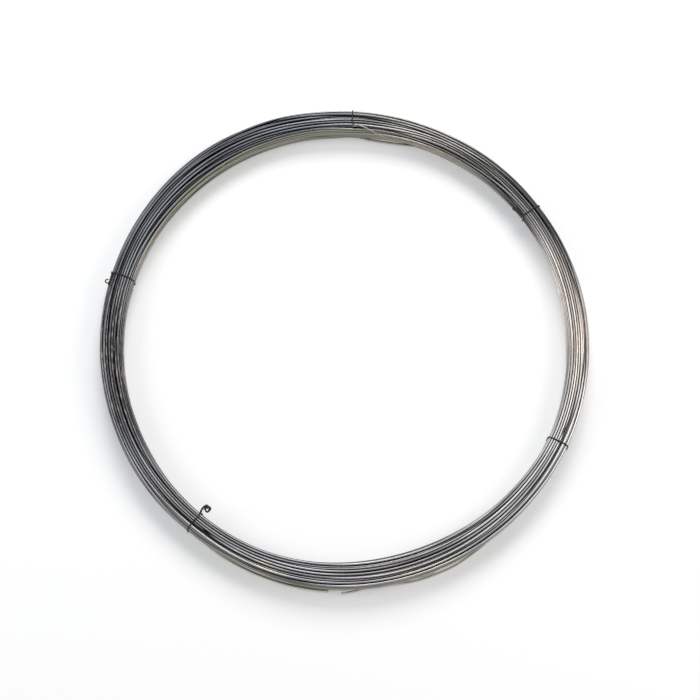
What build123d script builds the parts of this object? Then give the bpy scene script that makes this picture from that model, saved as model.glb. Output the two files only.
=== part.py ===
"""Coil of round steel wire, wound by the hundred turns and tied by hand with five thin wires.

Millimetres, +Z up. The coil lies flat. The origin is on its axis, at the height of the floor under the
five tie wires that it rests on. Azimuths run counter-clockwise from +X, seen from above. Angles round the
bundle's section run from 0 on the outside over 90 on top to 180 in the bore.
"""

import os
from math import cos, pi, radians, sin

from build123d import *

# The coil's wire, and the section that its turns fill
wire_dia = 2.5
bore_dia = 500.0
bundle_width = 26.0
bundle_height = 27.0
bundle_corner = 6.5

# The tie wires
tie_dia = 1.5
tie_clearance = 0.3  # between a tie and the ridges of the turns
tie_sides = 6  # flats round a tie's own section

# The tail of a tie: its two ends twisted together
neck_length = 2.0  # from the loop to where the strands begin to turn
twist_pitch = 7.0  # length of tail for one full turn of its strands
strand_gap = 0.15  # between the two strands
steps_per_turn = 8
eye_turn = 270.0  # degrees that the wire goes round the eye at its end
eye_steps = 5

# Each tie: azimuth; angle round the section at which its tail lies; way the tail points along the coil
# (1 counter-clockwise, -1 clockwise); quarter turns of its twist; how far its end turns away from the coil,
# and towards which angle round the section; clear width of the eye at its end, 0 for plain ends
ties = {
    "tie_wire_right": (-25.4, -45, -1, 6, 0, -45, 0.0),
    "tie_wire_upper_right": (35.9, 180, 1, 7, 14, 180, 3.5),
    "tie_wire_top": (88.0, -45, 1, 6, 0, -45, 0.0),
    "tie_wire_left": (162.6, 0, 1, 7, 8, 0, 2.5),
    "tie_wire_lower_left": (231.1, 135, -1, 5, 85, 180, 6.0),
}

wire_radius = wire_dia / 2
tie_radius = tie_dia / 2
tie_offset = tie_clearance + tie_radius  # from the ridges to the middle of a tie wire
middle_radius = bore_dia / 2 + bundle_width / 2
middle_height = tie_dia + tie_clearance + bundle_height / 2
corner = min(bundle_corner, 0.45 * min(bundle_width, bundle_height))
across, rise = bundle_width / 2 - corner, bundle_height / 2 - corner
twist_radius = (tie_dia + strand_gap) / 2 / cos(pi / steps_per_turn)


def ridged_end():
    """Upper end of the section's outline, from the outer wall to the bore's: a ridge for each turn that fits
    side by side round the two corners and between them, and a groove where two turns touch."""
    inner = corner - wire_radius
    centres = Wire([
        CenterArc((across, rise), inner, 0, 90).edge(),
        Line((across, rise + inner), (-across, rise + inner)).edge(),
        CenterArc((-across, rise), inner, 90, 90).edge(),
    ])
    turns = int(centres.length / wire_dia)
    points = [Vector(across + corner, rise)]
    for turn in range(turns):
        if turn:
            points.append(centres.position_at(turn / turns))
        along = centres.tangent_at((turn + 0.5) / turns)
        outward = Vector(along.Y, -along.X)
        points.append(centres.position_at((turn + 0.5) / turns) + outward * wire_radius)
    return points + [Vector(-across - corner, rise)]


def wire_coil():
    """The wound turns as one turned body with its bore. Its lower end is the upper one turned over."""
    upper = [(point.X, point.Y) for point in ridged_end()]
    lower = [(-x, -y) for x, y in upper]
    section = Polygon(*upper, *lower, align=None)
    return revolve(Plane.XZ * Pos(middle_radius, middle_height) * section, Axis.Z)


def towards(angle):
    """Unit direction in the bundle's section, at an angle round it."""
    return Vector(cos(radians(angle)), 0, sin(radians(angle)))


def beside(angle, distance):
    """Point of the section's plane that faces an angle, so far from the middle of the rounded corner there.
    Angles of 0 and 180 face the middle of a wall."""
    way = towards(angle)
    sides = [(part > 1e-6) - (part < -1e-6) for part in (way.X, way.Z)]
    return Vector(across * sides[0], 0, rise * sides[1]) + way * distance


def loop_points(around):
    """Corners of a tie's loop, from its tail once round the bundle. Each rounded corner of the bundle is
    passed in short runs that touch its arc."""
    reach = (corner + tie_offset) / cos(radians(15))
    turns = sorted((quarter + angle - around) % 360 for quarter in (0, 90, 180, 270) for angle in (15, 45, 75))
    return [beside(around + turn, reach) for turn in turns if 1 < turn < 359]


def strand_points(root, tangent, away, quarters, lift, eye_dia, phase):
    """One strand of a tail: a helix round an axis that starts along the coil and turns away from it by
    lift. The strand that ends farther from the coil ends in an open eye, or both do if neither is farther."""
    steps = round(quarters * steps_per_turn / 4)
    length = twist_pitch * quarters / 4
    level = tangent.cross(away)
    axis_point, points = root, []
    for step in range(steps + 1):
        bend = radians(lift) * step / steps
        along = tangent * cos(bend) + away * sin(bend)
        lifted = away * cos(bend) - tangent * sin(bend)
        if step:
            axis_point += along * (length / steps)
        turn = phase + 2 * pi * step / steps_per_turn
        out = level * cos(turn) + lifted * sin(turn)
        points.append(axis_point + out * twist_radius)
    if eye_dia and out.dot(away) > -0.01:
        eye_radius = (eye_dia + tie_dia) / 2
        centre = points[-1] + out * eye_radius
        for step in range(1, eye_steps + 1):
            turn = radians(eye_turn) * step / eye_steps
            points.append(centre + (along * sin(turn) - out * cos(turn)) * eye_radius)
    return points


def tie_wire(azimuth, around, way, quarters, lift, aside, eye_dia):
    """One wire: a loop round the bundle, whose two ends are twisted into a tail against the turns."""
    tangent = Vector(0, way, 0)
    away = towards(aside)
    foot = beside(around, corner + tie_offset)
    root = foot + towards(around) * twist_radius + tangent * neck_length
    shape = (root, tangent, away, quarters, lift, eye_dia)
    first = strand_points(*shape, 0 if way < 0 else pi)
    second = strand_points(*shape, pi if way < 0 else 0)
    neck = towards(around + 90) * (twist_radius + tie_radius)
    path = Polyline(*first[::-1], foot + neck, *loop_points(around), foot - neck, *second)
    section = Plane(path @ 0, z_dir=path % 0) * RegularPolygon(tie_radius, tie_sides)
    wire = sweep(section, path=path, transition=Transition.RIGHT)
    return Rot(0, 0, azimuth) * Pos(middle_radius, 0, middle_height) * wire


os.makedirs("parts", exist_ok=True)
export_step(wire_coil(), "parts/wire_coil.step")
for name, sizes in ties.items():
    export_step(tie_wire(*sizes), f"parts/{name}.step")
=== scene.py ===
# %% [markdown]
# # A coil of steel wire, tied by hand
#
# The object is about ninety turns of round steel wire, wound into a ring and held by five thin tie wires. The
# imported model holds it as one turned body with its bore. Here every turn becomes a wire of its own, because
# what makes such a coil look real is how its turns lie: packed hard under the ties, and spread into groups
# with dark gaps between them.

import bpy
import numpy as np
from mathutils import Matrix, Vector


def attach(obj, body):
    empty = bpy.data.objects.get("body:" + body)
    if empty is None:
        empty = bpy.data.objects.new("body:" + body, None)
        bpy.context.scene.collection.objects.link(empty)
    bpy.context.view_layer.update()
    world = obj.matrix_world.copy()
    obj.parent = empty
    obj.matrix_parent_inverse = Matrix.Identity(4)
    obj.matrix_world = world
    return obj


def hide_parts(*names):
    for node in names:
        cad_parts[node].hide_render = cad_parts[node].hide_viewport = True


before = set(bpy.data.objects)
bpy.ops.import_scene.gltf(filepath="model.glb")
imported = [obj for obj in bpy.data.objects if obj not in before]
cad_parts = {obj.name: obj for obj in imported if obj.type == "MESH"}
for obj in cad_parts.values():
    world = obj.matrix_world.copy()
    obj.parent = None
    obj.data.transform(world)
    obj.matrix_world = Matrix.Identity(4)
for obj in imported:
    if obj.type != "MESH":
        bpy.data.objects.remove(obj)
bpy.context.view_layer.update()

MM = 0.001
print("frame:", sorted(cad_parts))

# %% [markdown]
# ## The coil's sizes, read from the frame
#
# Nothing is measured twice. The ring's radii come from the turned body's own vertices, and each tie's azimuth
# comes from the run of its wire that passes over the top of the coil.

# %% Read the ring and the ties
def node_points(name):
    """The vertices of a node as an array of points, in metres."""
    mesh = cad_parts[name].data
    flat = np.zeros(len(mesh.vertices) * 3, np.float32)
    mesh.vertices.foreach_get("co", flat)
    return flat.reshape(-1, 3).astype(float)


ring = node_points("wire_coil")
ring_radius = np.hypot(ring[:, 0], ring[:, 1])
middle_radius = (ring_radius.min() + ring_radius.max()) / 2
coil_bottom, coil_top = ring[:, 2].min(), ring[:, 2].max()
middle_height = (coil_bottom + coil_top) / 2
bundle_height = coil_top - coil_bottom

tie_names = ("tie_wire_right", "tie_wire_upper_right", "tie_wire_top", "tie_wire_left", "tie_wire_lower_left")


def tie_azimuth(name):
    """The azimuth, in radians, of the run of a tie that lies on top of the coil."""
    points = node_points(name)
    over = points[points[:, 2] > points[:, 2].max() - 0.5 * MM].mean(0)
    return np.arctan2(over[1], over[0])


tie_azimuths = np.array([tie_azimuth(name) for name in tie_names])
print("middle radius mm", round(middle_radius / MM, 1), "ties at", np.degrees(tie_azimuths).round(1))

# %% [markdown]
# ## How wide the bundle is round the ring
#
# A tie wire pulls the turns together, and between two ties they spread. The widths below are the bundle's own
# at each tie and in the middle of the span that follows it, counter-clockwise. The longest span, between the
# lower left and the right tie, spreads most: it swings out in its first half and in again in its second, and
# its outer wall leans over the floor.

# %% Widths and heights of the bundle
wire_diameter = 2.5 * MM
section_corner = 6.0 * MM
slices = 120
seam_azimuth = np.radians(269.5)

# One value for each tie, in the order of tie_names, or for the span that follows it
tie_width = np.array([22.6, 20.6, 27.0, 26.5, 22.4]) * MM
tie_height = np.array([27.0, 27.2, 25.0, 25.0, 27.0]) * MM
tie_shift = np.array([2.0, 1.0, -1.5, -0.3, -0.4]) * MM
span_width = np.array([23.8, 20.8, 30.6, 23.8, 32.2]) * MM
span_height = np.array([26.5, 26.5, 22.0, 26.0, 23.5]) * MM
span_shift = np.array([1.5, -0.5, 0.3, -1.0, -0.4]) * MM
span_sway = np.array([0.0, 0.0, 0.0, 0.0, 1.4]) * MM
span_lean = np.array([0.0, 0.0, 0.0, 0.0, 0.16])
span_count = len(tie_names)


def span_place(angle):
    """For each angle: which tie its span starts from, and how far along the span it lies, from 0 to 1."""
    start = tie_azimuths[:, None]
    length = (np.roll(tie_azimuths, -1) - tie_azimuths) % (2 * np.pi)
    along = (angle[None] - start) % (2 * np.pi) / length[:, None]
    span = along.argmin(0)
    return span, along[span, np.arange(len(angle))]


def swell(along):
    """0 at both ends of a span and 1 in its middle: the sine of half a turn, with a broader top."""
    return np.sin(np.pi * along) ** 1.3


def between_ties(at_tie, in_span, angle):
    """A size round the ring: the tie's own at each tie, and the span's in its middle. It is the straight way
    from tie to tie, plus the swell times what the span's own value has over the mean of its two ties."""
    span, along = span_place(angle)
    next_tie = np.roll(at_tie, -1)
    plain = at_tie[span] * (1 - along) + next_tie[span] * along
    return plain + (in_span[span] - (at_tie + next_tie)[span] / 2) * swell(along)


azimuth = 2 * np.pi * np.arange(slices) / slices
slice_angle = seam_azimuth + azimuth
slice_width = between_ties(tie_width, span_width, slice_angle)
slice_height = between_ties(tie_height, span_height, slice_angle)
slice_shift = between_ties(tie_shift, span_shift, slice_angle)
slice_span, slice_along = span_place(slice_angle)
slice_shift += span_sway[slice_span] * np.sin(2 * np.pi * slice_along)
print("bundle width mm", (slice_width[::12] / MM).round(1))

# %% [markdown]
# ## A place for each turn
#
# Under a tie the turns lie like a stack of pipes: in rows, each one settled into the grooves of the one
# below. The turns are numbered in the order in which the wire was wound, along one row and back along the
# next, so that one continuous wire can run from each turn's place into its neighbour's.

# %% Rows of turns in the tied section
row_rise = np.sqrt(3) / 2
stack_width = 22.0 * MM
stack_slack = 0.3 * MM
stack_inset = 0.8 * MM
column_count = 9


def past_outline(x, y, width, height, corner):
    """Distance of points to the outline of a rounded rectangle, negative inside."""
    over_x, over_y = np.abs(x) - (width / 2 - corner), np.abs(y) - (height / 2 - corner)
    past_corner = np.hypot(np.maximum(over_x, 0), np.maximum(over_y, 0))
    return past_corner + np.minimum(np.maximum(over_x, over_y), 0) - corner


def stacked_rows():
    """Middles of the turns under a tie, as (outward, up) from the bundle's middle, row by row from below. The
    two lowest and the two highest rows have one place left empty each."""
    rise = wire_diameter * row_rise
    rows = int((bundle_height - wire_diameter) / rise) + 1
    left_empty = {0: 4, 1: 5, rows - 2: 5, rows - 1: 4}
    places = []
    for row in range(rows):
        y = (row - (rows - 1) / 2) * rise
        x = (np.arange(-8, 9) + 0.5 * (row % 2)) * wire_diameter
        past = past_outline(x, y, stack_width + stack_slack, bundle_height + stack_slack, section_corner)
        x = x[past < -stack_inset][::1 if row % 2 else -1]
        if row in left_empty:
            x = np.delete(x, left_empty[row])
        places.append(np.stack([x, np.full(len(x), y)], 1))
    return np.concatenate(places)


def loose_rows(width, height, count):
    """Middles of so many turns in a section of this size: rows in each other's grooves, as far apart as fills
    it, from 1.6 wires down. Surplus places are left empty at random."""
    for spacing in np.linspace(1.6, 0.7, 91) * wire_diameter:
        row = np.arange(int((height - wire_diameter) / (spacing * row_rise)) + 1)
        x = (np.arange(-12, 13)[None] + 0.5 * (row % 2)[:, None]) * spacing
        y = (row[:, None] - row.mean()) * spacing * row_rise + 0 * x
        fits = past_outline(x, y, width, height, section_corner) < 0.1 * MM - wire_diameter / 2
        if fits.sum() >= count:
            return np.stack([x[fits], y[fits]], 1)[rng.permutation(fits.sum())[:count]]


def by_columns(points):
    """Order of points by column from the bore outwards, and from below in each column."""
    rank = np.argsort(np.lexsort((points[:, 1], points[:, 0])))
    return np.lexsort((points[:, 1], rank * column_count // len(points)))


rng = np.random.default_rng(11)
places = stacked_rows()
turns = len(places)
print("turns", turns, "in", ((np.ptp(places, axis=0) + wire_diameter) / MM).round(1), "mm")

# %% [markdown]
# ## The plan of every turn
#
# Each turn starts from its place and is spread with the bundle. It also wanders: in every span between two
# ties it bows out of line by an amount of its own, like a bar held at both ends. A few pairs of neighbours
# change places within one span, so that turns cross over each other as in a real coil. In the span after the
# top tie, which is the changeover, every turn passes into the place of the next one.
#
# On both sides of the top tie the inner turns stand apart as a group of their own, a little lower than the
# rest, and that tie passes down between them and the rest.

# %% Spread, wander and crossings
changeover_span = 2
crossings = 16
gap_count = 7
gap_total = np.array([3.6, 3.0, 5.0, 3.4, 9.5]) * MM
gap_evenness = 1.3
gap_slant = 0.35
gap_full_at = 9 * MM
inner_edge_spans = (1, 2)
inner_edge = -5.6 * MM
inner_drop = 2.2 * MM
edge_gap = 1.0 * MM
split_tie = 2
split_gap = 2.7 * MM
split_reach = 0.06
spare_place = [11.6 * MM, -8.5 * MM]
bow_least, bow_by_growth, bow_share, sway_share = 0.3 * MM, 0.08, 0.6, 0.35

inner = places[:, 0] < inner_edge
side_of_edge = np.append(np.where(inner, -1, 1), 1)


def smooth_step(x):
    """Rises from 0 to 1 with no corner at either end."""
    x = np.clip(x, 0, 1)
    return x * x * (3 - 2 * x)


def swapped_order():
    """Which place each turn takes in each span. Pairs of neighbours are swapped in one span each, both of
    them inner turns or neither."""
    order = np.tile(np.arange(turns + 1), (span_count, 1))
    free = np.ones(turns + 1, bool)
    for _ in range(crossings):
        first = rng.integers(turns)
        gap = np.hypot(*(places - places[first]).T)
        beside = (gap > 0) & (gap < 1.1 * wire_diameter) & (inner == inner[first])
        near = np.flatnonzero(beside & free[:turns])
        if len(near) == 0 or not free[first]:
            continue
        second = rng.choice(near)
        free[[first, second]] = False
        where = rng.integers(span_count)
        order[where, [first, second]] = [second, first]
    return order


def places_in_spans(ahead):
    """A place for each turn in the middle of each span. Both sections are filled column by column, so that a
    turn stays with its neighbours."""
    opened = np.empty((span_count, turns + 1, 2))
    for span in range(span_count):
        section = loose_rows(span_width[span] - 0.7 * gap_total[span], span_height[span], turns + 1)
        opened[span, by_columns(ahead)] = section[by_columns(section)]
    return opened


def from_tie_to_tie(at_tie, in_span):
    """Places as an array of (slice, turn, outward and up): from a tie's, by way of its span's, to the next
    tie's."""
    along = slice_along[:, None, None]
    start, middle, end = at_tie[slice_span], in_span[slice_span], at_tie[(slice_span + 1) % span_count]
    return np.where(
        along < 0.5,
        start + (middle - start) * smooth_step(2 * along),
        middle + (end - middle) * smooth_step(2 * along - 1),
    )


def stood_aside(in_span):
    """How far each turn stands aside in each span, to open long gaps between groups of turns. A gap is a
    slanted line through the section, and the turns on its two sides move apart by the gap's share of the
    total, most of all near the top and bottom. In some spans the first gap is the inner group's edge."""
    aside = np.zeros(in_span.shape[:2])
    for span in range(span_count):
        x, y = in_span[span].T
        spots = (np.arange(gap_count) + rng.uniform(0.15, 0.85, gap_count)) / gap_count
        slant = rng.normal(size=gap_count) * gap_slant
        share = rng.dirichlet(np.full(gap_count, gap_evenness)) * gap_total[span]
        side = np.sign(x[:, None] - (spots - 0.5) * 0.9 * span_width[span] - slant * y[:, None])
        if span in inner_edge_spans:
            side[:, 0] = side_of_edge
            share[0] += edge_gap
        aside[span] = (side * share).sum(1) / 2 * (0.3 + 0.7 * smooth_step(np.abs(y) / gap_full_at))
    return aside


def grouped(place, in_span):
    """Opens the gaps in the spans and the one at the split tie, sets the inner group lower, and leans a
    span's turns outwards with their height."""
    rise = swell(slice_along)[:, None]
    place[..., 0] += slice_shift[:, None] + stood_aside(in_span)[slice_span] * rise
    by_split = np.exp(-(np.sin((slice_angle - tie_azimuths[split_tie]) / 2) / split_reach) ** 2)[:, None]
    place[..., 0] += split_gap / 2 * by_split * side_of_edge
    stands_apart = np.maximum(rise * np.isin(slice_span, inner_edge_spans)[:, None], by_split)
    place[..., 1] -= inner_drop * stands_apart * (side_of_edge < 0) * (place[..., 1] > 0)
    place[..., 0] += place[..., 1] * span_lean[slice_span, None] * rise
    return place


def bowed(place):
    """Adds each turn's own bow and sway in each span. They are larger where the span is much wider than its
    two ties."""
    growth = span_width - (tie_width + np.roll(tie_width, -1)) / 2
    loose = bow_share * (bow_least + bow_by_growth * np.abs(growth))[:, None, None]
    bow = rng.normal(size=(span_count, turns + 1, 2)) * loose
    sway = rng.normal(size=(span_count, turns + 1, 2)) * loose * sway_share
    along = slice_along[:, None, None]
    wave = np.sin(np.pi * along) ** 2
    return place + (bow[slice_span] + sway[slice_span] * np.sin(2 * np.pi * along)) * wave


def changed_over():
    """How far each slice has gone over to the next turn's place: 0 before the changeover span, counted along
    the wire from the seam, rising in it, and 1 after it."""
    start = (tie_azimuths[changeover_span] - seam_azimuth) % (2 * np.pi)
    after = (azimuth > start) & (slice_span != changeover_span)
    return np.where(slice_span == changeover_span, smooth_step(slice_along), after)


def planned_turns():
    """Plan of the turns as an array of (turn, slice, outward and up): place, gaps, bow and changeover."""
    ahead = np.concatenate([places, [spare_place]])
    order = swapped_order()
    in_span = np.take_along_axis(places_in_spans(ahead), order[..., None], 1)
    tied = ahead[order]
    stretch = np.stack([tie_width / stack_width, tie_height / bundle_height], 1)[:, None]
    at_tie = (tied + np.roll(tied, 1, axis=0)) / 2 * stretch
    place = bowed(grouped(from_tie_to_tie(at_tie, in_span), in_span))
    shift = changed_over()[:, None, None]
    return (place[:, :-1] * (1 - shift) + place[:, 1:] * shift).transpose(1, 0, 2)


plan = planned_turns()
print("planned", plan.shape)

# %% [markdown]
# ## The two ends of the wire
#
# At the bottom of the coil its two cut ends lie on the floor, a little outside the bundle, each with the turn
# next to it. They are led there stop by stop, and so is one loose turn in the bore near the top.

# %% Lead single turns
def guide(turn, stops):
    """Leads one turn along a way of its own. Each stop is an azimuth in degrees, the distances outward and up
    from the bundle's middle in millimetres, and how firmly the turn is led there, from 0 to 1."""
    stops = np.array(stops, float)
    along = (np.degrees(slice_angle) - stops[0, 0]) % 360
    reach = stops[:, 0] - stops[0, 0]
    way = np.stack([np.interp(along, reach, stops[:, i]) for i in (1, 2)], 1) * MM
    hold = (smooth_step(np.interp(along, reach, stops[:, 3])) * (along < reach[-1]))[:, None]
    plan[turn] = plan[turn] * (1 - hold) + way * hold


def turn_near(outward, up):
    """The turn whose place is nearest to a spot in the tied section, in millimetres."""
    return int(np.hypot(places[:, 0] - outward * MM, places[:, 1] - up * MM).argmin())


low = -12.3  # up from the bundle's middle, of a turn that lies on the floor
last_end = [
    (232, 11, -8, 0), (240, 14, -10.5, 1), (248, 16.2, -12, 1), (258, 17.8, low, 1), (269, 18.3, low, 1),
]
first_end = [
    (269.5, 18.3, low, 1), (271, 17.4, low, 1), (275, 13.2, low, 1), (281, 13.6, low, 1),
    (287, 16.3, low, 1), (296, 16.4, low, 1), (303, 13, low, 1), (312, 10.5, -11.5, 0),
]
beside_last = [(236, 10, -10, 0), (246, 13.0, low, 1), (256, 14.9, low, 1), (269, 14.2, low, 1)]
beside_first = [
    (269.5, 14.2, low, 1), (274, 11, low, 1), (281, 10.8, low, 1), (290, 13.6, low, 1), (302, 9, -11.5, 0),
]
in_the_bore = [
    (69, -11, -8, 0), (74, -12.8, -9, 1), (79, -15.2, -9.5, 1), (83, -15.2, -9.5, 1), (87, -12.5, -9, 1),
    (92, -11, -8, 0),
]
guide(turns - 1, last_end)
guide(0, first_end)
guide(0, beside_last)
guide(1, beside_first)
guide(turn_near(-10, -9), in_the_bore)
print("ends at mm from the axis", ((middle_radius + plan[[0, -1], [0, -1], 0]) / MM).round(1))

# %% [markdown]
# ## Letting the turns settle
#
# The plan has turns that run through each other. So all of them are relaxed together, slice by slice: two
# turns nearer than a wire's diameter push each other apart, a tie holds what it goes round, the floor holds
# what sinks, and the stiffness of the wire evens each turn out along its length. After enough rounds most
# turns lie on each other, and the gaps are where a real bundle has them. Some turns still run into each
# other, most of all where two cross near a tie, and the print tells how deep.

# %% Relax the bundle
bell = np.exp(-0.5 * (np.arange(-9, 10) / 3.0) ** 2)
bell /= bell.sum()
short_bell = np.array([0.25, 0.5, 0.25])
push_share = 0.4
hold_reach = 0.045
floor_gap = 0.2 * MM
room_for_tie = 2.4 * MM


def evened(drift, kernel):
    """Drift of all turns, smoothed along the one wire that they are."""
    line = drift.reshape(-1, 2)
    pad = len(kernel) // 2
    line = np.concatenate([line[:1]] * pad + [line] + [line[-1:]] * pad)
    return np.stack([np.convolve(line[:, i], kernel, "valid") for i in (0, 1)], 1).reshape(drift.shape)


def push_apart(bundle):
    """The bundle with each turn moved out of those that it overlaps, by a share of the overlap, and how deep
    every two turns overlapped before."""
    here = bundle.transpose(1, 0, 2)
    away = here[:, :, None] - here[:, None]
    distance = np.sqrt((away ** 2).sum(-1)) + 1e-9
    overlap = np.clip(wire_diameter - distance, 0, None)
    overlap[:, np.arange(turns), np.arange(turns)] = 0
    return (here + push_share * (away * (overlap / distance)[..., None]).sum(2)).transpose(1, 0, 2), overlap


def held(bundle):
    """Keeps the turns inside the ties' loops, and above the floor everywhere. Near a tie they also leave room
    for its wire between them and the floor."""
    from_tie = np.minimum(slice_along, 1 - slice_along)
    tight = np.exp(-((from_tie / hold_reach) ** 2))[None, :]
    x, y = bundle[..., 0] - slice_shift, bundle[..., 1]
    width, height = slice_width - wire_diameter, slice_height - wire_diameter
    past = past_outline(x, y, width, height, section_corner - wire_diameter / 2)
    inwards = np.clip(past, 0, None) * tight / (np.hypot(x, y) + 1e-9)
    x, y = x - inwards * x, y - inwards * y
    lowest = wire_diameter / 2 + floor_gap + room_for_tie * tight - middle_height
    return np.stack([x + slice_shift, np.maximum(y, lowest)], -1)


def settled(rounds):
    """The bundle after so many rounds of pushing apart, holding and evening out. The last rounds even out
    over a short reach, and one more push is smoothed at the end."""
    bundle = plan + rng.normal(size=plan.shape) * 0.02 * MM
    for done in range(rounds):
        bundle = held(push_apart(bundle)[0])
        drift = bundle - plan
        kernel, stiff = (bell, 0.5) if done < 0.7 * rounds else (short_bell, 0.3)
        bundle = plan + (1 - stiff) * drift + stiff * evened(drift, kernel)
    drift = push_apart(bundle)[0] - plan
    bundle = plan + evened(drift, bell) * 0.7 + drift * 0.3
    overlap = push_apart(bundle)[1]
    overlap = overlap[overlap > 0] / MM
    print("overlaps mm: median", np.median(overlap).round(3), "deepest", overlap.max().round(2))
    return bundle


bundle = settled(120)

# %% [markdown]
# ## From slices to a line
#
# The settled turns are points in 120 slices. A curve through them, worked out as a cubic between each two
# slices, gives the one line that the wire follows, and each of its points is then turned to its azimuth.

# %% The line of the wire
steps_between = 2
steel_density = 7850.0


def curve_through(points, steps):
    """Catmull-Rom curve through a row of points, with so many steps from each to the next."""
    points = np.concatenate([2 * points[:1] - points[1:2], points, 2 * points[-1:] - points[-2:-1]])
    t = (np.arange(steps) / steps)[None, :, None]
    before, here, there, beyond = (points[i:len(points) - 3 + i, None] for i in range(4))
    curve = 0.5 * (2 * here + (there - before) * t + (2 * before - 5 * here + 4 * there - beyond) * t ** 2
                   + (3 * here - before - 3 * there + beyond) * t ** 3)
    return np.concatenate([curve.reshape(-1, points.shape[1]), points[-2:-1]])


def ring_line(bundle):
    """The wire's line in metres: radius and height turned to its azimuth."""
    line = curve_through(bundle.reshape(-1, 2), steps_between)
    angle = seam_azimuth + 2 * np.pi * np.arange(len(line)) / (slices * steps_between)
    radius = middle_radius + line[:, 0]
    return np.stack([radius * np.cos(angle), radius * np.sin(angle), middle_height + line[:, 1]], 1)


wire_line = ring_line(bundle)
wire_length = np.sqrt((np.diff(wire_line, axis=0) ** 2).sum(1)).sum()
wire_mass = wire_length * np.pi * (wire_diameter / 2) ** 2 * steel_density
print("wire", round(wire_length, 1), "m, mass", round(wire_mass, 2), "kg")

# %% [markdown]
# ## Where the turns are open to the air
#
# Where turns touch, shade falls, and the finish paints it in. So each side of each turn is measured against
# its
# neighbours: the distance from its surface to the next turn's. The finish reads it later and paints the wire
# darker where it is small.

# %% Distance to the next turn
wire_sides = 12
# distance from the next turn at which the painted shade where turns touch has faded out
unshaded_from = 1.4 * MM


def openness():
    """For each turn, slice and side: 0 where the turn touches another, and 1 from a clear distance on."""
    angle = 2 * np.pi * np.arange(wire_sides) / wire_sides
    rim = wire_diameter / 2 * np.stack([np.cos(angle), np.sin(angle)], 1)
    clear = np.empty((turns, slices, wire_sides))
    for here in range(slices):
        middles = bundle[:, here]
        gap = np.linalg.norm((middles[:, None] + rim)[:, :, None] - middles, axis=-1)
        gap[np.arange(turns), :, np.arange(turns)] = 1
        clear[:, here] = gap.min(-1) - wire_diameter / 2
    return np.clip(clear / unshaded_from, 0, 1)


open_sides = curve_through(openness().reshape(-1, wire_sides), steps_between)
print("open share of the wire's surface", open_sides.mean().round(2))

# %% [markdown]
# ## A round wire along a line
#
# A wire is a circle carried along a line. At each point of the line the circle stands square to it. Its first
# direction is kept level for the turns, which never stand upright, and is carried from point to point for the
# ties, which do. The map that goes with it has the distance along the wire in metres in one direction, so
# that a drawn finish can follow the wire.

# %% Tube builder
def heading(line):
    """Unit direction along a line at each of its points."""
    along = np.gradient(line, axis=0)
    return along / np.linalg.norm(along, axis=1, keepdims=True)


def level_side(along):
    """A level direction square to each heading, for a line that never stands upright."""
    side = np.cross(along, [0.0, 0.0, 1.0])
    return side / np.linalg.norm(side, axis=1, keepdims=True)


def carried_side(along):
    """A direction square to each heading, carried from point to point and turned as little as it can be."""
    side = np.cross(along[0], np.eye(3)[np.abs(along[0]).argmin()])
    sides = []
    for step in along:
        side = side - step * (side @ step)
        side = side / np.linalg.norm(side)
        sides.append(side)
    return np.array(sides)


def tube(name, line, side, radius, sides, start=0.0, unshaded=None):
    """A closed mesh round a line. Ring i, side j is line[i] + radius * (cos, sin) in the two square
    directions. unshaded gives the share of open air at each ring and side, which the finish reads to paint
    shade where turns touch."""
    over = np.cross(side, heading(line))
    count = len(line)
    turn = 2 * np.pi * np.arange(sides) / sides
    circle = side[:, None] * np.cos(turn)[None, :, None] + over[:, None] * np.sin(turn)[None, :, None]
    points = line[:, None] + radius * circle
    i, j = np.meshgrid(np.arange(count - 1), np.arange(sides), indexing="ij")
    k = (j + 1) % sides
    quads = np.stack([i * sides + j, i * sides + k, (i + 1) * sides + k, (i + 1) * sides + j], -1)
    quads = quads.reshape(-1, 4)
    ends = np.stack([np.arange(sides)[::-1], (count - 1) * sides + np.arange(sides)])
    distance = start + np.concatenate([[0], np.cumsum(np.linalg.norm(np.diff(line, axis=0), axis=1))])
    u = np.stack([j, j + 1, j + 1, j], -1).ravel() / sides
    v = distance[np.stack([i, i, i + 1, i + 1], -1).ravel()]
    end_u, end_v = np.full(2 * sides, 0.5), np.repeat(distance[[0, -1]], sides)
    uv = np.stack([np.concatenate([u, end_u]), np.concatenate([v, end_v])], 1)
    corners = np.concatenate([quads.ravel(), ends.ravel()])
    starts = np.concatenate([np.arange(len(quads)) * 4, len(quads) * 4 + np.array([0, sides])])
    mesh = bpy.data.meshes.new(name)
    mesh.vertices.add(count * sides)
    mesh.vertices.foreach_set("co", points.astype(np.float32).ravel())
    mesh.loops.add(len(corners))
    mesh.loops.foreach_set("vertex_index", corners.astype(np.int32))
    mesh.polygons.add(len(starts))
    mesh.polygons.foreach_set("loop_start", starts.astype(np.int32))
    mesh.update(calc_edges=True)
    mesh.polygons.foreach_set("use_smooth", np.arange(len(starts)) < len(quads))
    mesh.uv_layers.new(name="along_wire").data.foreach_set("uv", uv.astype(np.float32).ravel())
    if unshaded is not None:
        layer = mesh.attributes.new("unshaded", "FLOAT", "POINT")
        layer.data.foreach_set("value", unshaded.astype(np.float32).ravel())
    mesh.validate()
    piece = bpy.data.objects.new(name, mesh)
    bpy.context.scene.collection.objects.link(piece)
    return piece, distance[-1]


# %% [markdown]
# ## The turns as pieces
#
# One mesh of the whole wire would be too heavy to handle, so it is cut into runs of turns, from the bottom
# rows to the top ones. Each run starts where the last one ended, also in its map.

# %% Make the turns
run_count = 5
stations_per_turn = slices * steps_between
cuts = np.linspace(0, turns * stations_per_turn - steps_between, run_count + 1).astype(int)

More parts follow.
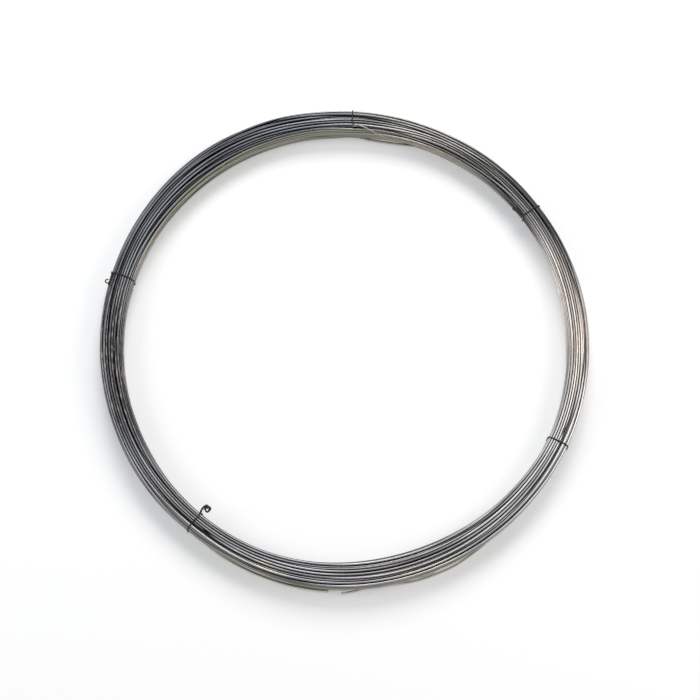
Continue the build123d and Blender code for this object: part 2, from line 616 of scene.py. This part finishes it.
turn_pieces = []
distance = 0.0
for run in range(run_count):
    part = slice(cuts[run], cuts[run + 1] + 1)
    line, side = wire_line[part], level_side(heading(wire_line[part]))
    piece, distance = tube(
        f"coil_wire_turns_{run + 1}", line, side, wire_diameter / 2, wire_sides, distance, open_sides[part])
    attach(piece, "root")
    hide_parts("wire_coil")
    turn_pieces.append(piece)
print("pieces", len(turn_pieces), "triangles each", 2 * len(turn_pieces[0].data.polygons))

# %% [markdown]
# ## The tie wires
#
# Each tie is one soft, thin wire, drawn tight round the bundle, with its two ends twisted together. A thread
# drawn tight round a bundle lies on the farthest turns only, and runs straight between them. So for every
# direction round the section the farthest turn is looked up, and the tie's line goes round that turn.

# %% A loop drawn tight
tie_radius = 0.75 * MM


def bundle_at(angle):
    """The turns' middles at an azimuth, as (outward, up), between the two nearest slices."""
    place = ((angle - seam_azimuth) % (2 * np.pi)) / (2 * np.pi) * slices
    first, share = int(place), place % 1
    return bundle[:, first] * (1 - share) + bundle[:, first + 1] * share


def spaced(line, step):
    """The same line with points at even distances."""
    walked = np.concatenate([[0], np.cumsum(np.linalg.norm(np.diff(line, axis=0), axis=1))])
    at = np.linspace(0, walked[-1], int(walked[-1] / step) + 2)
    return np.stack([np.interp(at, walked, line[:, i]) for i in range(line.shape[1])], 1)


def eased(line, rounds):
    """The same line with its corners rounded: each point moves towards its neighbours, so many times over."""
    for _ in range(rounds):
        line = np.concatenate([line[:1], (line[:-2] + 2 * line[1:-1] + line[2:]) / 4, line[-1:]])
    return line


def tight_loop(centres, around):
    """Once round the turns from an angle of the section: the farthest turn's middle in each direction, plus
    the two radii in that direction."""
    angle = around + np.linspace(0, 2 * np.pi, 1441)
    way = np.stack([np.cos(angle), np.sin(angle)], 1)
    farthest = (centres @ way.T).argmax(0)
    return centres[farthest] + (wire_diameter / 2 + tie_radius) * way


# %% [markdown]
# ## Twisted tails
#
# The tail is two strands that run round each other: each one is a helix on the tail's axis, half a turn
# apart. The axis sets off along the coil and bends away from it. Some strands end in a small eye, where the
# wire was bent back by hand, and one runs on as a loose end. The sizes follow the photograph, tie by tie.

# %% One strand of a tail
twist_pitch = 6.0 * MM
strand_reach = tie_radius + 0.03 * MM
strand_points = 48
loose_points = 40
straight_share = 0.14
sunk_per_curl = 3.0 * MM
wall_radius = middle_radius - 13 * MM


def strand(root, tangent, away, lift, phase, length, eye_width, eye_turn, eye_aim, loose_end):
    """Line of one strand. Its axis is the sum of short steps that leave the tangent by the angles of lift,
    first and last, and one that curls right round passes under itself. The strand goes round it at the
    twist's pitch."""
    length = length * MM
    share = np.linspace(0, 1, strand_points)[:, None]
    bent = np.clip((share - straight_share) / (1 - straight_share), 0, 1) ** 1.4
    bend = np.radians(lift[0] + (lift[1] - lift[0]) * bent)
    turn = phase + 2 * np.pi * share * length / twist_pitch
    level = np.cross(tangent, away)
    along = tangent * np.cos(bend) + away * np.sin(bend)
    lifted = away * np.cos(bend) - tangent * np.sin(bend)
    sunk = level * sunk_per_curl * (bend - bend[0]) / (2 * np.pi)
    axis = root + np.cumsum(along, axis=0) * length / strand_points + sunk
    out = level * np.cos(turn) + lifted * np.sin(turn)
    line = axis + out * strand_reach * np.minimum(1, 0.9 + share)
    if eye_width:
        line = with_eye(line, along[-1], out[-1], level, eye_width * MM, eye_turn, np.radians(eye_aim))
    if loose_end:
        line = with_loose_end(line, tangent, loose_end * MM)
    return line


def with_eye(line, along, out, level, width, turn, aim):
    """The strand with a rising circle at its end, in the plane of that end. The circle's middle lies straight
    ahead at an aim of 0, and beside the end at 90 degrees."""
    reach = width / 2 + tie_radius
    ahead = along * np.cos(aim) + out * np.sin(aim)
    across = along * np.sin(aim) - out * np.cos(aim)
    swing = np.radians(np.linspace(8, turn, strand_points))[:, None]
    rise = out @ level * level * tie_radius * 2.2 * swing / (2 * np.pi)
    circle = ahead * (1 - np.cos(swing)) + across * np.sin(swing)
    return np.concatenate([line, line[-1] + circle * reach + rise])


def with_loose_end(line, tangent, length):
    """The strand with an end that runs on along the coil, keeps to the curve of its wall, steps inwards and
    sinks."""
    share = np.linspace(0.03, 1, loose_points)[:, None]
    walked = share * length
    curve = np.array([-1.0, 0, 0]) * ((abs(line[-1, 1]) + walked) ** 2 / (2 * wall_radius))
    inwards = np.array([-7.6, 0, 0]) * MM * smooth_step(share * 1.25)
    sinking = np.array([0, 0, -9.0]) * MM * smooth_step(share * 1.3 - 0.3)
    return np.concatenate([line, line[-1] + tangent * walked + curve + inwards + sinking])


# %% Shape of each tie
# angle round the section of the tail (0 outside, 90 top, 180 bore); way along the coil (1 counter-clockwise);
# lift, first and last; angle it lifts towards; slant of the loop, in degrees of azimuth from its outer to its
# inner side; for each strand its twisted length, its eye's clear width, degrees that it goes round and aim,
# and its loose end, with lengths in millimetres
tie_shapes = {
    "tie_wire_right": (222, -1, (0, 0), 222, 0.1, (8, 0, 0, 0, 0), (9, 0, 0, 0, 0)),
    "tie_wire_upper_right": (170, 1, (0, 12), 180, 0.1, (9.75, 3.2, 300, 60, 0), (11, 0, 0, 0, 0)),
    "tie_wire_top": (128, -1, (0, 0), 128, 0.1, (3, 0, 0, 0, 38), (4, 0, 0, 0, 0)),
    "tie_wire_left": (42, 1, (0, -4), 0, 0.5, (10.5, 3.0, 300, 80, 0), (15, 0, 0, 0, 0)),
    "tie_wire_lower_left": (158, -1, (80, 620), 182, 0.3, (35, 0, 0, 0, 0), (33, 0, 0, 0, 0)),
}
neck_length = 1.6 * MM
slanted_over = 26 * MM
tie_step = 0.45 * MM
tie_sides = 10


def tie_line(name, around, way, lift, aside, slant, *strand_shapes):
    """A tie's whole line: first strand inwards, once round the bundle, and second strand outwards. The split
    tie goes round the outer turns only."""
    azimuth = tie_azimuths[tie_names.index(name)]
    around, aside = np.radians([around, aside])
    centres = bundle_at(azimuth)
    if name == tie_names[split_tie]:
        centres = centres[~inner]
    loop = tight_loop(centres, around)
    foot = loop[0]
    loop = loop[np.linalg.norm(loop - foot, axis=1) > strand_reach + tie_radius]
    lean = np.tan(np.radians(slant) * middle_radius / slanted_over)
    flat = np.stack([loop[:, 0], -lean * (loop[:, 0] - foot[0]), loop[:, 1]], 1)
    towards = np.array([np.cos(around), 0, np.sin(around)])
    root = np.array([foot[0], way * neck_length, foot[1]]) + towards * strand_reach
    tangent, away = np.array([0.0, way, 0]), np.array([np.cos(aside), 0, np.sin(aside)])
    phases = (0, np.pi) if way < 0 else (np.pi, 0)
    first, second = (
        strand(root, tangent, away, lift, phase, *shape) for phase, shape in zip(phases, strand_shapes))
    line = eased(spaced(np.concatenate([first[::-1], flat, second]), tie_step), 6)
    radius = middle_radius + line[:, 0]
    out = np.array([np.cos(azimuth), np.sin(azimuth)])
    across = np.array([-out[1], out[0]])
    return np.column_stack([radius[:, None] * out + line[:, 1:2] * across, middle_height + line[:, 2]])


tie_pieces = []
for name, shape in tie_shapes.items():
    line, bound_name = tie_line(name, *shape), name.replace("tie_wire", "bound_tie")
    piece, length = tube(bound_name, line, carried_side(heading(line)), tie_radius, tie_sides)
    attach(piece, "root")
    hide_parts(name)
    tie_pieces.append(piece)
    lowest = line[:, 2].min() - tie_radius
    print(name, "mm of wire", round(length / MM), "lowest", (lowest / MM).round(2))

# %% [markdown]
# ## Numbers in a shader
#
# A finish is worked out by nodes. Written one by one they are hard to read, so a number that a node gives is
# wrapped here, and ordinary arithmetic on it adds the Math nodes.

# %% Node helpers
class Number:
    """A number that a node gives. Arithmetic on it adds the Math nodes that it needs."""

    def __init__(self, nodes, socket):
        self.nodes, self.socket = nodes, socket

    def maths(self, operation, first, second):
        node = self.nodes.node("ShaderNodeMath", {"operation": operation}, {0: first, 1: second})
        return Number(self.nodes, node.outputs[0])

    def __add__(self, other):
        return self.maths("ADD", self, other)

    def __sub__(self, other):
        return self.maths("SUBTRACT", self, other)

    def __rsub__(self, other):
        return self.maths("SUBTRACT", other, self)

    def __mul__(self, other):
        return self.maths("MULTIPLY", self, other)

    __radd__, __rmul__ = __add__, __mul__

    def or_larger(self, other):
        return self.maths("MAXIMUM", self, other)


class Nodes:
    """A tree of nodes, and the few kinds of step that its colours are made from."""

    def __init__(self, tree):
        self.tree = tree

    def feed(self, socket, value):
        """Sets a socket to a value, or links it to a Number or to another node's socket."""
        value = value.socket if isinstance(value, Number) else value
        if isinstance(value, bpy.types.NodeSocket):
            self.tree.links.new(value, socket)
        elif isinstance(value, tuple) and socket.type == "RGBA":
            socket.default_value = (*value, 1)
        else:
            socket.default_value = value

    def feed_all(self, node, sockets):
        """Feeds several sockets of a node, given by name or number."""
        for name, value in sockets.items():
            self.feed(node.inputs[name], value)

    def node(self, kind, settings, sockets):
        """Adds a node: its settings first, then the values or links of its sockets."""
        made = self.tree.nodes.new(kind)
        for name, value in settings.items():
            setattr(made, name, value)
        self.feed_all(made, sockets)
        return made

    def vector_maths(self, operation, sockets):
        """The outputs of a Vector Math node."""
        return self.node("ShaderNodeVectorMath", {"operation": operation}, sockets).outputs

    def mixed(self, share, first, second):
        """A colour between two."""
        return self.node("ShaderNodeMix", {"data_type": "RGBA"}, {0: share, 6: first, 7: second}).outputs[2]

    def scaled(self, vector, amount):
        """A colour or a vector times a number."""
        return self.vector_maths("SCALE", {0: vector, "Scale": amount})[0]

    def between(self, value, low, high):
        """0 below low and 1 above high, with a soft rise between them."""
        ranges = {"From Min": low, "From Max": high, "To Min": 0.0, "To Max": 1.0}
        settings = {"interpolation_type": "SMOOTHSTEP"}
        return Number(self, self.node("ShaderNodeMapRange", settings, {"Value": value, **ranges}).outputs[0])

    def noise(self, place, scale, detail, dimensions="3D"):
        """A cloud of values about 0.5, at a place in the surface's own coordinates."""
        where = "W" if dimensions == "1D" else "Vector"
        sockets = {where: place, "Scale": scale, "Detail": detail}
        made = self.node("ShaderNodeTexNoise", {"noise_dimensions": dimensions}, sockets)
        return Number(self, made.outputs[0])

    def seen(self, *kinds):
        """1 for rays of the kinds given, which see the thing directly, and 0 for all others."""
        rays = self.node("ShaderNodeLightPath", {}, {}).outputs
        first, *others = (Number(self, rays[f"Is {kind} Ray"]) for kind in kinds)
        for other in others:
            first = first.or_larger(other)
        return first


class Finish(Nodes):
    """A material with one shader."""

    def __init__(self, name):
        self.material = bpy.data.materials.new(name)
        self.material.use_nodes = True
        super().__init__(self.material.node_tree)
        self.shader = self.tree.nodes["Principled BSDF"]

    def bump(self, height, strength, distance):
        """The surface's direction with fine relief on it."""
        sockets = {"Strength": strength, "Distance": distance, "Height": height}
        return self.node("ShaderNodeBump", {}, sockets).outputs[0]


# %% [markdown]
# ## Drawn steel
#
# The wire is bare drawn steel: grey, with fine marks along it from the die, and a thin film that differs from
# turn to turn. Long streaks of lighter and darker wire are what the eye reads first, so a slow noise runs
# along the wire's own length, and neighbouring turns get different parts of it. The streaks are partly
# painted
# highlights: the lighter runs stand in for turns that catch the light. The grey carries painted light and
# shade
# round the ring: lighter and warmer on the coil's right, darker on its left and top.
#
# Parts of the coil have aged: there are tan specks in patches. An even olive grey is painted on the low turns
# in the coil's upper half and in the bore, where it stands in for the shade of that wall, and on the low
# turns outside its bottom, where it stands in for a highlight. Paler beige highlights are painted on the
# strip of wire that lies outside the bundle and on patches near the outer edge at the bottom. Painted shade
# darkens the turns where they touch, and a painted shadow darkens the inner turns at the bottom.

# %% Places on the wire and on the coil
def along_the_wire(finish):
    """Distance along the wire in metres, and a function that turns it into a place for a noise: a point that
    goes round the wire and, times a tightness, along it, with no seam."""
    uv = finish.node("ShaderNodeUVMap", {"uv_map": "along_wire"}, {}).outputs[0]
    parts = finish.node("ShaderNodeSeparateXYZ", {}, {0: uv})
    turn, distance = Number(finish, parts.outputs[0]) * (2 * np.pi), Number(finish, parts.outputs[1])
    across, up = (turn.maths(way, turn, 0.0) for way in ("COSINE", "SINE"))

    def round_and_along(tightness):
        return finish.node("ShaderNodeCombineXYZ", {}, {0: across, 1: up, 2: distance * tightness}).outputs[0]

    return distance, round_and_along


def place_on_coil(finish):
    """Distance from the coil's axis, height, and a function that gives the mask of an azimuth."""
    place = finish.node("ShaderNodeTexCoord", {}, {}).outputs["Object"]
    height = Number(finish, finish.node("ShaderNodeSeparateXYZ", {}, {0: place}).outputs[2])
    flat = finish.vector_maths("MULTIPLY", {0: place, 1: (1, 1, 0)})[0]
    radius = Number(finish, finish.vector_maths("LENGTH", {0: flat})["Value"])
    direction = finish.vector_maths("NORMALIZE", {0: flat})[0]

    def towards(degrees, width):
        """1 at an azimuth, falling to 0 at a width on either side: from the cosine of the angle between."""
        way = (np.cos(np.radians(degrees)), np.sin(np.radians(degrees)), 0)
        cosine = finish.vector_maths("DOT_PRODUCT", {0: direction, 1: way})["Value"]
        return finish.between(cosine, float(np.cos(np.radians(width))), 1.0)

    return radius, height, towards


# %% Steel of the turns
grey = (0.140, 0.148, 0.164)
painted_shade_grey = (0.095, 0.10, 0.11)
painted_olive = (0.27, 0.265, 0.22)
tan_speck = (0.50, 0.40, 0.34)
beige_highlight_colour = (0.52, 0.49, 0.40)
strip_highlight = (0.46, 0.45, 0.39)
painted_sheen_at_right = (-2, 46)

# azimuth and width in degrees, and the colour there, laid over each other in this order: painted light and
# shade round the ring, a painted warm sheen on the right and painted shade on the left and the top
painted_light_by_azimuth = (
    (*painted_sheen_at_right, (0.52, 0.48, 0.45)),
    (-36, 38, (0.38, 0.38, 0.38)),
    (228, 36, (0.23, 0.23, 0.237)),
    (64, 36, (0.19, 0.188, 0.184)),
    (190, 24, painted_shade_grey),
    (112, 20, painted_shade_grey),
    (278, 30, (0.215, 0.208, 0.215)),
)


def drawn_steel():
    """Colour: a grey with painted light and shade round the ring, warmer and lighter on the coil's right,
    times streaks along the wire that are partly painted highlights, with a painted olive on the low turns,
    tan specks, painted beige highlights and the paler strip over it, painted shade where turns touch and a
    painted shadow on the inner turns at the bottom. Roughness follows the specks, and the die's marks are a
    fine bump."""
    finish = Finish("drawn_steel")
    distance, round_and_along = along_the_wire(finish)
    radius, height, towards = place_on_coil(finish)

    def beyond(first, last):
        return finish.between(radius, first * MM, last * MM)

    def above(first, last):
        return finish.between(height, first * MM, last * MM)

    # Painted light and shade: the grey is lighter, warmer or darker by azimuth, as light falls on the ring.
    colour = grey
    for degrees, width, tone in painted_light_by_azimuth:
        colour = finish.mixed(towards(degrees, width), colour, tone)
    # Painted shade: a darker band on the turns 261 to 271 mm from the axis, about azimuth 30.
    colour = finish.mixed(towards(30, 22) * beyond(261, 271), colour, painted_shade_grey)

    # Streaks: random tone along the wire, and partly painted highlights, lighter runs that stand in for turns
    # catching the light.
    streak_and_highlight = finish.between(finish.noise(distance, 5.0, 2.5, "1D"), 0.36, 0.64)
    film = finish.noise(round_and_along(45.0), 0.9, 3.0)
    marks = finish.noise(round_and_along(9.0), 9.0, 3.0)
    colour = finish.scaled(colour, streak_and_highlight * 0.95 + 0.66 + (film - 0.5) * 0.4 + (marks - 0.5) * 0.5)

    # Painted light: an even olive grey on the low turns of the upper half and the bore, the look of a shaded
    # wall, and on the low turns outside the bottom, the look of a highlight. It also weakens the painted
    # shade where turns touch.
    at_bottom = towards(268, 52)
    low_turns = (towards(104, 78) + at_bottom * beyond(260, 268)) * (1 - above(15, 23))
    bore_turns = (1 - beyond(250, 255)) * towards(106, 76)
    painted_olive_share = finish.between(low_turns.or_larger(bore_turns), 0.1, 0.6)
    colour = finish.mixed(painted_olive_share * 0.88, colour, painted_olive)

    aged = towards(184, 26) * 0.8 + towards(6, 26) * 0.9 + towards(69, 14) * 0.9
    specks = finish.between(finish.noise(round_and_along(130.0), 0.8, 2.0), 0.5, 0.66) * aged
    colour = finish.mixed(specks * 0.6, colour, tan_speck)
    # Painted highlights: beige patches on the outer turns near azimuths 246 and 290.
    beige_highlight_patches = (towards(246, 13) + towards(290, 13)) * beyond(262, 272)
    painted_beige_highlight = finish.between(finish.noise(round_and_along(30.0), 0.6, 2.0), 0.38, 0.62) * beige_highlight_patches
    colour = finish.mixed(painted_beige_highlight * 0.75, colour, beige_highlight_colour)
    # Painted highlight: the strip of low wire outside the bundle at the bottom is paler beige, where it
    # catches the light.
    strip = beyond(275, 278) * (1 - above(6, 10)) * finish.between(at_bottom, 0.0, 0.4)
    colour = finish.mixed(strip * 0.8, colour, strip_highlight)

    # Painted shade: the wire is darkened where it touches other turns; less on the right, on the painted
    # olive and on the strip.
    share = finish.node("ShaderNodeAttribute", {"attribute_name": "unshaded"}, {}).outputs["Fac"]
    # Painted shadow: the inner low turns at the bottom are darkened.
    painted_bottom_shadow = at_bottom * (1 - beyond(255, 262)) * (1 - above(17, 23))
    unshaded = finish.between(share, 0.36, 0.95) * (1 - painted_bottom_shadow * 0.85)
    crevice_shade_level = towards(*painted_sheen_at_right) * 0.1 + painted_olive_share * 0.6 + strip * 0.3 + 0.04
    finish.feed_all(finish.shader, {
        "Base Color": finish.scaled(colour, unshaded + (1 - unshaded) * crevice_shade_level),
        "Roughness": 0.16 + film * 0.12 + marks * 0.12 + specks * 0.25,
        "Metallic": 1.0,
        "Normal": finish.bump(marks, 0.5, 0.03 * MM),
    })
    return finish.material


# %% [markdown]
# ## Annealed tie wire
#
# The ties are soft wire that has been in a furnace, so they keep a thin black scale. It is duller than the
# coil, and it is rubbed lighter in places. Low down the ties get a painted olive, the same even tone that
# stands in for the shaded bore wall, and the loose end of the top tie is paler.

# %% Steel of the ties
def annealed_steel():
    """Colour: near black scale with paler rubbed places along the wire, a painted olive of the shaded wall
    over it low down, and a paler loose end. The scale is rough."""
    finish = Finish("annealed_tie_steel")
    _, round_and_along = along_the_wire(finish)
    radius, height, towards = place_on_coil(finish)
    rubbed = finish.between(finish.noise(round_and_along(220.0), 0.9, 3.0), 0.5, 0.75)
    colour = finish.mixed(rubbed, (0.032, 0.031, 0.031), (0.12, 0.11, 0.10))
    # Painted light: low down the ties get the even olive that stands in for the shaded bore wall.
    low_down = 1 - finish.between(height, 18 * MM, 26 * MM)
    colour = finish.mixed(low_down * 0.85, colour, (0.30, 0.29, 0.25))
    # The loose end of the top tie, in the bore, is paler.
    loose_end = (1 - finish.between(radius, 254 * MM, 258 * MM)) * towards(78, 12)
    grain = finish.noise(round_and_along(900.0), 4.0, 3.0)
    finish.feed_all(finish.shader, {
        "Base Color": finish.mixed(finish.between(loose_end, 0.0, 0.3) * 0.9, colour, (0.36, 0.35, 0.30)),
        "Roughness": 0.55 - rubbed * 0.15,
        "Metallic": 0.85,
        "Normal": finish.bump(grain, 0.4, 0.04 * MM),
    })
    return finish.material


steel, dark_steel = drawn_steel(), annealed_steel()
for material, pieces in ((steel, turn_pieces), (dark_steel, tie_pieces)):
    for piece in pieces:
        piece.data.materials.append(material)
    print("finish", material.name, "nodes", len(material.node_tree.nodes), "pieces", len(pieces))

# %% [markdown]
# ## Floor, light and camera
#
# The floor and the room are white to the camera and to reflections. To all other rays the room is dimmer and
# the floor gives no light of its own, so that the floor keeps a soft shadow. The camera stands where the
# photograph's did.

# %% Stage
floor_reach = 6.0
floor_corners = [(x * floor_reach, y * floor_reach, 0) for x, y in ((-1, -1), (1, -1), (1, 1), (-1, 1))]
floor_mesh = bpy.data.meshes.new("floor")
floor_mesh.from_pydata(floor_corners, [], [(0, 1, 2, 3)])
floor = bpy.data.objects.new("floor", floor_mesh)
bpy.context.scene.collection.objects.link(floor)
pale = Finish("pale_floor")
pale.feed_all(pale.shader, {
    "Base Color": (0.9, 0.9, 0.9),
    "Roughness": 0.9,
    "Emission Color": pale.mixed(pale.seen("Camera", "Glossy"), (0, 0, 0), (1, 1, 1)),
    "Emission Strength": 0.285,
})
floor_mesh.materials.append(pale.material)

# %% Light
world = bpy.data.worlds.new("room")
bpy.context.scene.world = world
world.use_nodes = True
room = Nodes(world.node_tree)
dim = room.tree.nodes["Background"]
room.feed_all(dim, {"Color": (0.93, 0.96, 1.0), "Strength": 0.24})
white = room.node("ShaderNodeBackground", {}, {"Color": (1, 1, 1), "Strength": 1.0})
seen = room.seen("Camera", "Glossy", "Transmission")
either = room.node("ShaderNodeMixShader", {}, {0: seen, 1: dim.outputs[0], 2: white.outputs[0]})
room.feed(room.tree.nodes["World Output"].inputs["Surface"], either.outputs[0])


def face(thing, place, backwards):
    """Sets a lamp or camera at a place, so that its back is turned to a direction."""
    thing.location = place
    thing.rotation_euler = (-backwards).to_track_quat("-Z", "Y").to_euler()
    bpy.context.scene.collection.objects.link(thing)


def soft_lamp(name, place, aim, size, power, colour):
    """A square area lamp that looks at a point."""
    lamp = bpy.data.lights.new(name, "AREA")
    lamp.size, lamp.energy, lamp.color = size, power, colour
    face(bpy.data.objects.new(name, lamp), place, Vector(place) - Vector(aim))


soft_lamp("far_window", (0.2, 2.3, 2.2), (0, 0, 0), 1.7, 58, (1.0, 1.0, 1.0))
soft_lamp("right", (2.0, 0.15, 1.7), (0.15, 0, 0), 1.2, 18, (1.0, 0.95, 0.90))
soft_lamp("left", (-2.3, -0.1, 1.7), (0, 0, 0), 1.3, 16, (0.94, 0.97, 1.0))

# %% Camera
photo_pixels = 700
pixels_per_metre = 885.0
camera_tilt = np.radians(13.7)
camera_distance = 2.8
sensor_width = 36.0
aim = Vector((0.00696, -0.00655, middle_height))
back = Vector((0, -np.sin(camera_tilt), np.cos(camera_tilt)))
camera_data = bpy.data.cameras.new("camera")
camera_data.sensor_width = sensor_width
camera_data.lens = sensor_width * pixels_per_metre * camera_distance / photo_pixels
camera = bpy.data.objects.new("camera", camera_data)
face(camera, aim + back * camera_distance, back)
bpy.context.scene.camera = camera
bpy.context.scene.view_settings.view_transform = "Standard"
